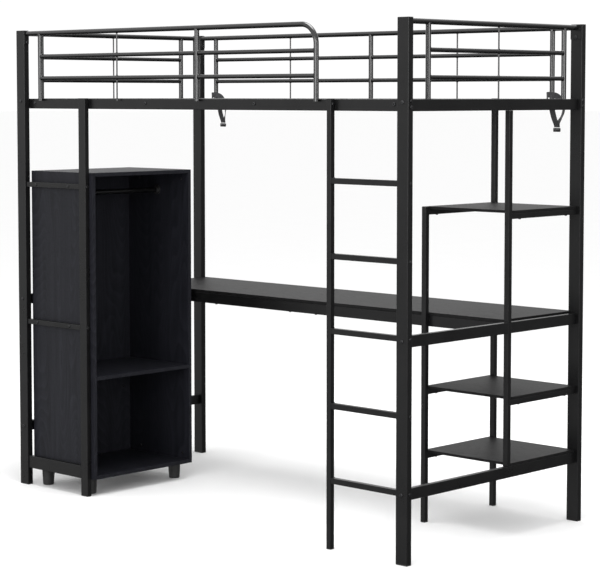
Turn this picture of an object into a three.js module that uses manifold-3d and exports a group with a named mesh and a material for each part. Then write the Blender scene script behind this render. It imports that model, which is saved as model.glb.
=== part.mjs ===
// A steel loft bed with a desk, a shelf tower, a ladder and an open wardrobe under it.
// Millimetres. +X runs along the bed towards the ladder, +Y towards the wall, +Z up.
// The origin is on the floor, at the middle of the four posts.
import * as THREE from 'three';
import { mergeVertices } from 'three/addons/utils/BufferGeometryUtils.js';
import Module from 'manifold-3d';

const wasm = await Module();
wasm.setup();

// Overall size, and the clearance between pieces that touch.
const LENGTH = 2087;
const WIDTH = 1003;
const HEIGHT = 1850;
const GAP = 0.3;

// Main posts: flat oval-cornered tube, its long side along the bed.
const POST_X = 50;
const POST_Y = 25;
const POST_WALL = 1.5;
const POST_CORNER = 2;
const POST_MID_X = (LENGTH - POST_X) / 2;
const POST_MID_Y = (WIDTH - POST_Y) / 2;
const BETWEEN_X = LENGTH / 2 - POST_X;
const BETWEEN_Y = WIDTH / 2 - POST_Y;

// Rails of the bed and of the two end frames.
const RAIL_HEIGHT = 40;
const RAIL_DEPTH = 20;
const RAIL_WALL = 1.5;
const RAIL_CORNER = 2;
const BED_RAIL_TOP = 1576;
const LOW_RAIL_TOP = 260;
const DESK_END_RAIL_TOP = 781;
const LEDGE_WIDTH = 18;
const LEDGE_THICK = 3;
const LEDGE_TOP = BED_RAIL_TOP - 23;

// Small square tube, used by the ladder and the shelf tower.
const TUBE = 20;
const TUBE_WALL = 1.2;
const TUBE_CORNER = 1.5;

// Guardrails: round tubes, and thin rods between them.
const GUARD_TOP = 1837.5;
const GUARD_LEVELS = [1743, 1650];
const FRONT_GUARD_LEVELS = [1745, 1657.5];
const GUARD_RADIUS = 9.5;
const GUARD_MID_RADIUS = 8;
const GUARD_ROD_RADIUS = 3;
const GUARD_FOOT = BED_RAIL_TOP - 24;
const GUARD_BEND = 70;
const GUARD_SIDES = 12;
const ROD_SIDES = 6;
const GUARD_Y = BETWEEN_Y + GUARD_RADIUS + 0.5;
const FRONT_UPRIGHTS = [-909, 5, 609];
const FRONT_ROD = -443;
const REAR_UPRIGHTS = [-906, -2, 903];
const REAR_RODS = [-455, 447];
const END_UPRIGHTS = { left: [-392, 382], right: [-370, 400] };
const END_RODS = { left: -5, right: 15 };

// Slat panels, which lie on the ledges of the long rails.
const PANEL_JOINT = 293;
const PANEL_BAR = 20;
const PANEL_TOP = BED_RAIL_TOP + 1;
const SLAT_WIDTH = 40;
const SLAT_THICK = 8;
const SLATS_PER_PANEL = [6, 5, 6];

// Ladder.
const STILE_X = 678;
const RUNG_HEIGHTS = [244.5, 508, 771, 1032, 1294];
const STILE_TOP = BED_RAIL_TOP + 2;
const FRONT_LAYER_Y = -BETWEEN_Y - GAP - TUBE / 2;

// Wardrobe frame and cabinet.
const WARDROBE_POST_X = -644;
const WARDROBE_POST_WIDTH = 40;
const WARDROBE_BAR_HEIGHTS = [1230, 672];
const BOTTOM_BAR_HEIGHT = 50;
const BOTTOM_BAR_MID = 95;
const CABINET_LEFT = -985;
const CABINET_RIGHT = -605;
const CABINET_REAR = 52;
const CABINET_FLOOR = 67;
const CABINET_TOP = 1285;
const CABINET_SHELF_TOP = 478;
const PANEL = 15;
const BACK_PANEL = 12;
const ROD_RADIUS = 11;
const ROD_HEIGHT = 1197;
const ROD_X = (CABINET_LEFT + CABINET_RIGHT) / 2;
const FOOT_TOP_RADIUS = 26;
const FOOT_BOTTOM_RADIUS = 22;
const FOOT_INSET_X = [45, 312];
const FOOT_INSET_Y = 38;

// Desk and shelf tower.
const DESK_TOP = 787;
const DESK_THICK = 12;
const DESK_FRONT = 87 + GAP;
const DESK_REAR = 501;
const TOWER_X = 634;
const TOWER_FRONT_Y = 77;
const TOWER_REAR_Y = 489;
const SHELF_TOPS = { upper: 1180, middle: 511, lower: 271 };
const SHELF_THICK = 10;

// Webbing straps that tie the rear rail to the wall.
const WEB_WIDTH = 22;
const WEB_THICK = 1.6;
const WEB_STEPS = 36;
const BUCKLE = new THREE.Vector3(28, 9, 15);
const BUCKLE_TOP = 1468;
const STRAP_LEAN = 8;

const finish = (color, roughness, metalness) => new THREE.MeshStandardMaterial({ color, roughness, metalness });
const STEEL = finish(0x232425, 0.45, 0.6);
const BOARD = finish(0x2b2a2c, 0.5, 0);
const CABINET = finish(0x242327, 0.55, 0);
const ROD = finish(0x3a3b3d, 0.35, 0.8);
const PLASTIC = finish(0x1a1a1a, 0.6, 0);
const WEBBING = finish(0x1c1c1e, 0.9, 0);

const bed = new THREE.Group();
bed.name = 'loft_bed';

/** Adds a named solid to the bed and gives it back. */
function add(name, geometry, material, position = [0, 0, 0]) {
  const mesh = new THREE.Mesh(geometry, material);
  mesh.name = name;
  mesh.position.set(...position);
  bed.add(mesh);
  return mesh;
}

/** Turns a geometry from a plan in local X and Y and a run in local Z onto the asked axis. */
function turnTo(mesh, axis) {
  const [x, y, z] = [new THREE.Vector3(1, 0, 0), new THREE.Vector3(0, 1, 0), new THREE.Vector3(0, 0, 1)];
  const frames = { x: [y, z, x], y: [z, x, y], z: [x, y, z] };
  mesh.setRotationFromMatrix(new THREE.Matrix4().makeBasis(...frames[axis]));
}

/** Draws a rectangle with round corners, centred on the origin, into a path or a shape. */
function roundedRectangle(path, width, height, corner) {
  const [w, h] = [width / 2, height / 2];
  path.moveTo(w - corner, -h);
  path.absarc(w - corner, -h + corner, corner, -Math.PI / 2, 0, false);
  path.absarc(w - corner, h - corner, corner, 0, Math.PI / 2, false);
  path.absarc(-w + corner, h - corner, corner, Math.PI / 2, Math.PI, false);
  path.absarc(-w + corner, -h + corner, corner, Math.PI, Math.PI * 1.5, false);
  path.closePath();
  return path;
}

/** An open-ended tube of rectangular section between two corners, running along one axis. */
function rectangularTube(name, axis, low, high, { wall = TUBE_WALL, corner = TUBE_CORNER } = {}) {
  const size = high.map((value, i) => value - low[i]);
  const middle = high.map((value, i) => (value + low[i]) / 2);
  const [across, up, along] = { x: [1, 2, 0], y: [2, 0, 1], z: [0, 1, 2] }[axis];
  const section = roundedRectangle(new THREE.Shape(), size[across], size[up], corner);
  const [innerWidth, innerHeight] = [size[across] - 2 * wall, size[up] - 2 * wall];
  section.holes.push(roundedRectangle(new THREE.Path(), innerWidth, innerHeight, corner / 2));
  const geometry = new THREE.ExtrudeGeometry(section, {
    depth: size[along], bevelEnabled: false, curveSegments: 2,
  });
  geometry.translate(0, 0, -size[along] / 2);
  turnTo(add(name, geometry, STEEL, middle), axis);
}

/** A plain board between two corners. */
function board(name, low, high, material) {
  const size = high.map((value, i) => value - low[i]);
  const middle = high.map((value, i) => (value + low[i]) / 2);
  add(name, new THREE.BoxGeometry(...size), material, middle);
}

/** A closed geometry as a solid that can be joined to another. */
function solid(geometry) {
  const bare = geometry.clone();
  bare.deleteAttribute('normal');
  bare.deleteAttribute('uv');
  const merged = mergeVertices(bare, 1e-4);
  return new wasm.Manifold(new wasm.Mesh({
    numProp: 3,
    vertProperties: new Float32Array(merged.attributes.position.array),
    triVerts: new Uint32Array(merged.index.array),
  }));
}

/** Joins several closed geometries into one. */
function weld(geometries) {
  const joined = geometries.map(solid).reduce((whole, piece) => whole.add(piece));
  const { vertProperties, triVerts } = joined.getMesh();
  const geometry = new THREE.BufferGeometry();
  geometry.setAttribute('position', new THREE.BufferAttribute(vertProperties, 3));
  geometry.setIndex(new THREE.BufferAttribute(triVerts, 1));
  geometry.computeVertexNormals();
  return geometry;
}

/** A box geometry between two corners. */
function block(low, high) {
  const size = high.map((value, i) => value - low[i]);
  const middle = high.map((value, i) => (value + low[i]) / 2);
  return new THREE.BoxGeometry(...size).translate(...middle);
}

/** A round bar from one point to another. */
function bar(from, to, radius, sides = GUARD_SIDES) {
  const [start, end] = [new THREE.Vector3(...from), new THREE.Vector3(...to)];
  const run = new THREE.Vector3().subVectors(end, start);
  const geometry = new THREE.CylinderGeometry(radius, radius, run.length(), sides);
  const turn = new THREE.Quaternion().setFromUnitVectors(new THREE.Vector3(0, 1, 0), run.normalize());
  const middle = new THREE.Vector3().addVectors(start, end).multiplyScalar(0.5);
  return geometry.applyQuaternion(turn).translate(middle.x, middle.y, middle.z);
}

/** The four main posts. */
function posts() {
  for (const [side, sx] of [['left', -1], ['right', 1]]) {
    for (const [face, sy] of [['front', -1], ['rear', 1]]) {
      const [x, y] = [sx * POST_MID_X, sy * POST_MID_Y];
      rectangularTube(
        `post_${face}_${side}`, 'z',
        [x - POST_X / 2, y - POST_Y / 2, 0], [x + POST_X / 2, y + POST_Y / 2, HEIGHT],
        { wall: POST_WALL, corner: POST_CORNER },
      );
    }
  }
}

/** A long bed rail with the ledge that the slat panels lie on, on its inner side. */
function longRail(name, side) {
  const outer = side * (BETWEEN_Y - GAP);
  const inner = outer - side * RAIL_DEPTH;
  const ledge = inner - side * LEDGE_WIDTH;
  const [low, high] = [BED_RAIL_TOP - RAIL_HEIGHT, BED_RAIL_TOP];
  const corners = [
    [outer, low], [inner, low], [inner, LEDGE_TOP - LEDGE_THICK], [ledge, LEDGE_TOP - LEDGE_THICK],
    [ledge, LEDGE_TOP], [inner, LEDGE_TOP], [inner, high], [outer, high],
  ];
  const section = new THREE.Shape(corners.map(([y, z]) => new THREE.Vector2(y, z)));
  const bore = [
    [outer - side * RAIL_WALL, low + RAIL_WALL], [outer - side * RAIL_WALL, high - RAIL_WALL],
    [inner + side * RAIL_WALL, high - RAIL_WALL], [inner + side * RAIL_WALL, low + RAIL_WALL],
  ];
  section.holes.push(new THREE.Path(bore.map(([y, z]) => new THREE.Vector2(y, z))));
  const reach = POST_MID_X - RAIL_DEPTH / 2 - GAP;
  const geometry = new THREE.ExtrudeGeometry(section, { depth: 2 * reach, bevelEnabled: false });
  const mesh = add(name, geometry, STEEL, [-reach, 0, 0]);
  turnTo(mesh, 'x');
}

/** A rail across an end frame, in line with the middle of the posts. */
function endRail(name, side, top, [from, to] = [-BETWEEN_Y + GAP, BETWEEN_Y - GAP]) {
  const x = side * POST_MID_X;
  rectangularTube(
    name, 'y', [x - RAIL_DEPTH / 2, from, top - RAIL_HEIGHT], [x + RAIL_DEPTH / 2, to, top],
    { wall: RAIL_WALL, corner: RAIL_CORNER },
  );
}

/** Bed rails and the lower rails of the end frames. */
function rails() {
  longRail('bed_rail_front', -1);
  longRail('bed_rail_rear', 1);
  for (const [side, sx] of [['left', -1], ['right', 1]]) {
    endRail(`bed_rail_${side}`, sx, BED_RAIL_TOP);
    endRail(`end_rail_low_${side}`, sx, LOW_RAIL_TOP);
  }
  endRail('end_rail_desk_left', -1, DESK_END_RAIL_TOP);
  const upright = TUBE / 2 + GAP;
  const [near, far] = [TOWER_FRONT_Y - upright, TOWER_FRONT_Y + upright];
  endRail('end_rail_desk_right_front', 1, DESK_END_RAIL_TOP, [-BETWEEN_Y + GAP, near]);
  endRail('end_rail_desk_right_rear', 1, DESK_END_RAIL_TOP, [far, BETWEEN_Y - GAP]);
}

/** One welded slat panel: two side bars, two cross bars and the slats between them. */
function slatPanel(name, from, to, slats) {
  const side = BETWEEN_Y - GAP - RAIL_DEPTH - GAP;
  const [low, barTop] = [LEDGE_TOP + GAP, LEDGE_TOP + GAP + PANEL_BAR];
  const pieces = [
    block([from, -side, low], [to, -side + PANEL_BAR, barTop]),
    block([from, side - PANEL_BAR, low], [to, side, barTop]),
    block([from, -side + PANEL_BAR / 2, low], [from + PANEL_BAR, side - PANEL_BAR / 2, barTop - 1]),
    block([to - PANEL_BAR, -side + PANEL_BAR / 2, low], [to, side - PANEL_BAR / 2, barTop - 1]),
  ];
  for (let i = 0; i < slats; i += 1) {
    const x = from + ((to - from) * (i + 0.5)) / slats;
    const across = SLAT_WIDTH / 2;
    pieces.push(block([x - across, -side + 2, PANEL_TOP - SLAT_THICK], [x + across, side - 2, PANEL_TOP]));
  }
  add(name, weld(pieces), STEEL);
}

/** The three slat panels, end to end. */
function bedBase() {
  const end = POST_MID_X - RAIL_DEPTH / 2 - 1;
  const joint = PANEL_JOINT;
  slatPanel('slat_panel_left', -end, -joint - GAP, SLATS_PER_PANEL[0]);
  slatPanel('slat_panel_middle', -joint + GAP, joint - GAP, SLATS_PER_PANEL[1]);
  slatPanel('slat_panel_right', joint + GAP, end, SLATS_PER_PANEL[2]);
}

/** A straight guardrail: the place function turns a distance along it and a height into a point. */
function guardFrame(name, place, reach, uprights, rods, foot) {
  const first = uprights[0];
  const last = uprights[uprights.length - 1];
  const pieces = [bar(place(-reach, GUARD_TOP), place(reach, GUARD_TOP), GUARD_RADIUS)];
  for (const level of GUARD_LEVELS) {
    pieces.push(bar(place(first, level), place(last, level), GUARD_MID_RADIUS));
  }
  for (const at of uprights) {
    pieces.push(bar(place(at, foot), place(at, GUARD_TOP), GUARD_RADIUS));
  }
  for (const at of rods) {
    pieces.push(bar(place(at, foot), place(at, GUARD_TOP), GUARD_ROD_RADIUS, ROD_SIDES));
  }
  add(name, weld(pieces), STEEL);
}

/** The front guardrail, whose top tube bends down beside the ladder. */
function frontGuard() {
  const turn = FRONT_UPRIGHTS[2];
  const path = new THREE.CurvePath();
  const [y, top] = [-GUARD_Y, GUARD_TOP];
  const start = new THREE.Vector3(-BETWEEN_X + GAP, y, top);
  const bendStart = new THREE.Vector3(turn - GUARD_BEND, y, top);
  const bendMiddle = new THREE.Vector3(turn, y, top);
  const bendEnd = new THREE.Vector3(turn, y, top - GUARD_BEND);
  path.add(new THREE.LineCurve3(start, bendStart));
  path.add(new THREE.QuadraticBezierCurve3(bendStart, bendMiddle, bendEnd));
  path.add(new THREE.LineCurve3(bendEnd, new THREE.Vector3(turn, y, GUARD_FOOT)));
  const circle = new THREE.Shape().absarc(0, 0, GUARD_RADIUS, 0, Math.PI * 2, false);
  const outline = circle.getSpacedPoints(GUARD_SIDES).slice(0, GUARD_SIDES);
  const bentTube = new THREE.ExtrudeGeometry(new THREE.Shape(outline), {
    steps: 60, extrudePath: path, bevelEnabled: false,
  });
  const pieces = [bentTube];
  for (const level of FRONT_GUARD_LEVELS) {
    pieces.push(bar([FRONT_UPRIGHTS[0], y, level], [turn, y, level], GUARD_MID_RADIUS));
  }
  for (const x of FRONT_UPRIGHTS.slice(0, 2)) {
    pieces.push(bar([x, y, GUARD_FOOT], [x, y, top], GUARD_RADIUS));
  }
  pieces.push(bar([FRONT_ROD, y, GUARD_FOOT], [FRONT_ROD, y, top], GUARD_ROD_RADIUS, ROD_SIDES));
  add('guard_front', weld(pieces), STEEL);
}

/** The four guardrails. */
function guards() {
  frontGuard();
  const rear = (along, z) => [along, GUARD_Y, z];
  guardFrame('guard_rear', rear, BETWEEN_X - GAP, REAR_UPRIGHTS, REAR_RODS, GUARD_FOOT);
  for (const [side, sx] of [['left', -1], ['right', 1]]) {
    const across = (along, z) => [sx * POST_MID_X, along, z];
    const foot = BED_RAIL_TOP + GAP;
    guardFrame(`guard_${side}`, across, BETWEEN_Y - GAP, END_UPRIGHTS[side], [END_RODS[side]], foot);
  }
}

/** The ladder: one stile, and rungs from it to the front right post. */
function ladder() {
  const half = TUBE / 2;
  const y = FRONT_LAYER_Y;
  rectangularTube('ladder_stile', 'z', [STILE_X - half, y - half, 0], [STILE_X + half, y + half, STILE_TOP]);
  RUNG_HEIGHTS.forEach((z, i) => {
    const [from, to] = [STILE_X + half + GAP, BETWEEN_X - GAP];
    rectangularTube(`ladder_rung_${i + 1}`, 'x', [from, y - half, z - half], [to, y + half, z + half]);
  });
}

/** The wardrobe's own steel frame at the front left corner. */
function wardrobeFrame() {
  const half = TUBE / 2;
  const y = FRONT_LAYER_Y;
  const side = WARDROBE_POST_WIDTH / 2;
  const x = WARDROBE_POST_X;
  rectangularTube('wardrobe_post', 'z', [x - side, y - half, 0], [x + side, y + half, STILE_TOP]);
  const [from, to] = [-BETWEEN_X + GAP, x - side - GAP];
  const bars = { upper: WARDROBE_BAR_HEIGHTS[0], lower: WARDROBE_BAR_HEIGHTS[1] };
  for (const [level, z] of Object.entries(bars)) {
    rectangularTube(`wardrobe_bar_${level}`, 'x', [from, y - half, z - half], [to, y + half, z + half]);
  }
  const [low, high] = [BOTTOM_BAR_MID - BOTTOM_BAR_HEIGHT / 2, BOTTOM_BAR_MID + BOTTOM_BAR_HEIGHT / 2];
  rectangularTube('wardrobe_bar_bottom', 'x', [from, y - half, low], [to, y + half, high]);
}

/** The wardrobe cabinet, open on the side towards the desk, with its rod and feet. */
function wardrobe() {
  const front = -BETWEEN_Y + GAP;
  const [insideFront, insideRear] = [front + PANEL + GAP, CABINET_REAR - PANEL - GAP];
  const [left, right] = [CABINET_LEFT, CABINET_RIGHT];
  const [low, high] = [CABINET_FLOOR, CABINET_TOP];
  board('wardrobe_side_front', [left, front, low], [right, front + PANEL, high], CABINET);
  board('wardrobe_side_rear', [left, CABINET_REAR - PANEL, low], [right, CABINET_REAR, high], CABINET);
  board('wardrobe_bottom', [left, insideFront, low], [right, insideRear, low + PANEL], CABINET);
  board('wardrobe_top', [left, insideFront, high - PANEL], [right, insideRear, high], CABINET);
  const [backLow, backHigh] = [low + PANEL + GAP, high - PANEL - GAP];
  board('wardrobe_back', [left, insideFront, backLow], [left + BACK_PANEL, insideRear, backHigh], CABINET);
  const shelf = CABINET_SHELF_TOP;
  const shelfLeft = left + BACK_PANEL + GAP;
  board('wardrobe_shelf', [shelfLeft, insideFront, shelf - PANEL], [right, insideRear, shelf], CABINET);
  add('hanging_rod', bar([ROD_X, insideFront, ROD_HEIGHT], [ROD_X, insideRear, ROD_HEIGHT], ROD_RADIUS), ROD);
  feet(low - GAP);
}

/** The cabinet's four round feet. */
function feet(top) {
  const profile = [[0, 0], [FOOT_BOTTOM_RADIUS, 0], [FOOT_TOP_RADIUS, top], [0, top]];
  const spots = [];
  for (const [face, y] of [['front', -BETWEEN_Y + FOOT_INSET_Y], ['rear', CABINET_REAR - FOOT_INSET_Y]]) {
    spots.push([`foot_${face}_left`, CABINET_LEFT + FOOT_INSET_X[0], y]);
    spots.push([`foot_${face}_right`, CABINET_LEFT + FOOT_INSET_X[1], y]);
  }
  for (const [name, x, y] of spots) {
    const geometry = new THREE.LatheGeometry(profile.map(([r, z]) => new THREE.Vector2(r, z)), 16);
    const mesh = add(name, geometry, PLASTIC, [x, y, 0]);
    mesh.rotation.x = Math.PI / 2;
  }
}

/** The desk board and the two rails under it. */
function desk() {
  const between = BETWEEN_X - GAP;
  const underside = DESK_TOP - DESK_THICK;
  board('desk_board', [-between, DESK_FRONT, underside], [between, DESK_REAR, DESK_TOP], BOARD);
  const [low, high] = [underside - GAP - RAIL_HEIGHT, underside - GAP];
  const reach = POST_MID_X - RAIL_DEPTH / 2 - GAP;
  const style = { wall: RAIL_WALL, corner: RAIL_CORNER };
  const front = [[-reach, DESK_FRONT, low], [reach, DESK_FRONT + RAIL_DEPTH, high]];
  rectangularTube('desk_rail_front', 'x', ...front, style);
  const rear = TOWER_REAR_Y - RAIL_DEPTH / 2;
  rectangularTube('desk_rail_rear', 'x', [-between, rear, low], [between, rear + RAIL_DEPTH, high], style);
}

/** The uprights of the shelf tower. */
function towerUprights() {
  const half = TUBE / 2;
  const upright = (name, x, y, low, high) => {
    rectangularTube(name, 'z', [x - half, y - half, low], [x + half, y + half, high]);
  };
  const shelfBottom = SHELF_TOPS.upper - SHELF_THICK - TUBE;
  const deskRailBottom = DESK_TOP - DESK_THICK - GAP - RAIL_HEIGHT;
  const bedRailBottom = BED_RAIL_TOP - RAIL_HEIGHT;
  upright('tower_post_front', TOWER_X, TOWER_FRONT_Y, 0, SHELF_TOPS.upper);
  upright('tower_post_end', POST_MID_X, TOWER_FRONT_Y, LOW_RAIL_TOP + GAP, bedRailBottom - GAP);
  upright('tower_post_rear_lower', TOWER_X, TOWER_REAR_Y, 0, deskRailBottom - GAP);
  const hangerY = BETWEEN_Y + GAP + half;
  upright('tower_post_rear_upper', TOWER_X, hangerY, shelfBottom, STILE_TOP);
}

/** The three shelf boards and the rails that carry them. */
function shelves() {
  const half = TUBE / 2;
  const front = TOWER_FRONT_Y + half + GAP;
  const rear = BETWEEN_Y - GAP;
  const [left, right] = [TOWER_X - half, POST_MID_X + half];
  for (const [level, top] of Object.entries(SHELF_TOPS)) {
    const underside = top - SHELF_THICK;
    board(`shelf_board_${level}`, [left, front, underside], [right, rear, top], BOARD);
    const [low, high] = [underside - GAP - TUBE, underside - GAP];
    rectangularTube(`shelf_rail_${level}_left`, 'y', [left, front, low], [left + TUBE, rear, high]);
    if (level !== 'lower') {
      rectangularTube(`shelf_rail_${level}_right`, 'y', [right - TUBE, front, low], [right, rear, high]);
    }
  }
}

/** A flat strip along a route; each facing says which way the strip's face looks there. */
function ribbon(route, facings) {
  const line = new THREE.CatmullRomCurve3(route.map((point) => new THREE.Vector3(...point)));
  const turn = new THREE.CatmullRomCurve3(facings.map((facing) => new THREE.Vector3(...facing)));
  const positions = [];
  for (let i = 0; i <= WEB_STEPS; i += 1) {
    const [centre, along] = [line.getPoint(i / WEB_STEPS), line.getTangent(i / WEB_STEPS)];
    const across = along.clone().cross(turn.getPoint(i / WEB_STEPS)).setLength(WEB_WIDTH / 2);
    const face = along.clone().cross(across).setLength(WEB_THICK / 2);
    for (const [u, v] of [[-1, -1], [1, -1], [1, 1], [-1, 1]]) {
      positions.push(...centre.clone().addScaledVector(across, u).addScaledVector(face, v).toArray());
    }
  }
  const last = 4 * WEB_STEPS;
  const triangles = [0, 3, 2, 0, 2, 1, last, last + 1, last + 2, last, last + 2, last + 3];
  for (let ring = 0; ring < last; ring += 4) {
    for (let k = 0; k < 4; k += 1) {
      const [a, b] = [ring + k, ring + ((k + 1) % 4)];
      triangles.push(a, b, b + 4, a, b + 4, a + 4);
    }
  }
  const geometry = new THREE.BufferGeometry();
  geometry.setAttribute('position', new THREE.Float32BufferAttribute(positions, 3));
  geometry.setIndex(triangles);
  geometry.computeVertexNormals();
  return geometry;
}

/** One webbing strap round a rear upright, and its buckle; lean moves the lower part along the bed. */
function strap(side, x, lean) {
  const rail = BETWEEN_Y;
  const low = x + lean;
  const end = BUCKLE_TOP + 2;
  const stations = [
    [[low + 21, rail + 21, end], [0, -1, 0]], [[low + 21, rail + 21, 1477], [0, -1, 0]],
    [[low + 7, rail + 22.5, 1510], [0.25, -1, 0]], [[low - 2, rail + 23, 1540], [0.3, -1, 0]],
    [[x - 12 + lean / 2, rail + 23, 1560], [0, -1, 0]], [[x - 23, rail + 19.5, 1574], [-0.4, -0.9, 0]],
    [[x - 23, rail + 8, 1585.5], [-0.8, -0.6, 0]], [[x - 13, rail - 3, 1590.5], [-0.4, -0.9, 0]],
    [[x, rail - 5, 1591.5], [0, -1, 0]], [[x + 14, rail - 3, 1590.5], [0.4, -0.9, 0]],
    [[x + 26, rail + 7, 1585.5], [0.8, -0.6, 0]], [[x + 34, rail + 17, 1571], [0.95, -0.3, 0]],
    [[x + 39, rail + 24, 1552], [0.85, 0.5, 0]], [[x + 42, rail + 26, 1534], [0.5, 0.86, 0]],
    [[x + 36 + lean / 2, rail + 26, 1508], [0.65, 0.75, 0]], [[low + 28, rail + 25.5, 1489], [0.5, 0.86, 0]],
    [[low + 23, rail + 25, 1477], [0, 1, 0]], [[low + 23, rail + 25, end], [0, 1, 0]],
  ];
  const route = stations.map(([point]) => point);
  add(`strap_${side}`, ribbon(route, stations.map(([, facing]) => facing)), WEBBING);
  const middle = [low + 22, rail + 23, BUCKLE_TOP - BUCKLE.z / 2];
  add(`buckle_${side}`, new THREE.BoxGeometry(BUCKLE.x, BUCKLE.y, BUCKLE.z), PLASTIC, middle);
}

posts();
rails();
bedBase();
guards();
ladder();
wardrobeFrame();
wardrobe();
desk();
towerUprights();
shelves();
strap('left', REAR_UPRIGHTS[0], STRAP_LEAN);
strap('right', REAR_UPRIGHTS[2], -STRAP_LEAN);

export default bed;
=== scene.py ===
"""Loft bed with a desk, a wardrobe cabinet and a shelf tower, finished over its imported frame.

Metres throughout. +X runs along the bed towards the ladder, +Y towards the wall, +Z up.
"""

import logging
import math
from contextlib import contextmanager
from dataclasses import dataclass, field
from enum import Enum
from typing import Callable, Iterator, Sequence

import bmesh
import bpy
from mathutils import Matrix, Vector


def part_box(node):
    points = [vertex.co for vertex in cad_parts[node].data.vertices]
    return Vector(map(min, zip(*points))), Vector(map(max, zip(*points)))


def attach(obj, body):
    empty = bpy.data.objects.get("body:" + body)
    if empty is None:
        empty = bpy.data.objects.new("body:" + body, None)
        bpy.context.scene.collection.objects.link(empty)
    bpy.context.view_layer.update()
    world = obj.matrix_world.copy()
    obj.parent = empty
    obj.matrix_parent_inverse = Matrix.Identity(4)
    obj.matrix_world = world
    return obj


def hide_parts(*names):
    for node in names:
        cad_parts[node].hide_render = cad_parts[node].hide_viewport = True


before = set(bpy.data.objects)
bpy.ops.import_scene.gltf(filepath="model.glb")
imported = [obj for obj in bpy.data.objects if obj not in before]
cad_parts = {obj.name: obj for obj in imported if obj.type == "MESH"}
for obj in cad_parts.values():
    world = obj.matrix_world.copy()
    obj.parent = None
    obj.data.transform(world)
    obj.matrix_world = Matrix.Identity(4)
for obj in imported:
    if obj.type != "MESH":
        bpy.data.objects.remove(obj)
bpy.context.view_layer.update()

LOG = logging.getLogger("loft_bed")
Point = tuple[float, float, float]
Test = Callable[[Vector, Vector], bool]

HAIR = 1e-5
STEP = 1e-4
ALONG = 0.99  # how much of a unit vector lies along an axis that it is taken to follow
CORNER_STEPS = 4
SMOOTH_ANGLE = math.radians(40)
LEFT, RIGHT = -1, 1
FRONT, REAR = -1, 1
REAR_UPRIGHTS = (-0.906, -0.002, 0.903)
STRAP_LEAN = 0.008


class Axis(Enum):
    """A direction of the shared frame."""

    X = 0
    Y = 1
    Z = 2

    def way(self, sign: float = 1.0) -> Vector:
        """The unit vector along this axis, either way."""
        return Vector([sign if i == self.value else 0.0 for i in range(3)])


# --------------------------------------------------------------------------- shader bench


class Wire:
    """One output of a shader node; arithmetic on it adds Math nodes."""

    def __init__(self, bench: "ShaderBench", socket: bpy.types.NodeSocket | None) -> None:
        """Keeps the socket and the bench it was made on."""
        self.bench = bench
        self.socket = socket

    def __add__(self, other: "Wire | float") -> "Wire":
        """The sum of two values."""
        return self.bench.math("ADD", self, other)

    def __mul__(self, other: "Wire | float") -> "Wire":
        """The product of two values."""
        return self.bench.math("MULTIPLY", self, other)

    def __sub__(self, other: "Wire | float") -> "Wire":
        """This value less another."""
        return self.bench.math("SUBTRACT", self, other)

    def __rsub__(self, other: float) -> "Wire":
        """A number less this value."""
        return self.bench.math("SUBTRACT", other, self)

    __radd__ = __add__
    __rmul__ = __mul__

    def wave(self) -> "Wire":
        """A sine of this value, moved into the range from 0 to 1."""
        return self.bench.math("SINE", self) * 0.5 + 0.5

    def span(self, low: float, high: float) -> "Wire":
        """This value spread so that low becomes 0 and high becomes 1, and held there."""
        settings = {"clamp": True}
        values = {"Value": self, "From Min": low, "From Max": high}
        return self.bench.node("ShaderNodeMapRange", settings, values)


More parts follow.
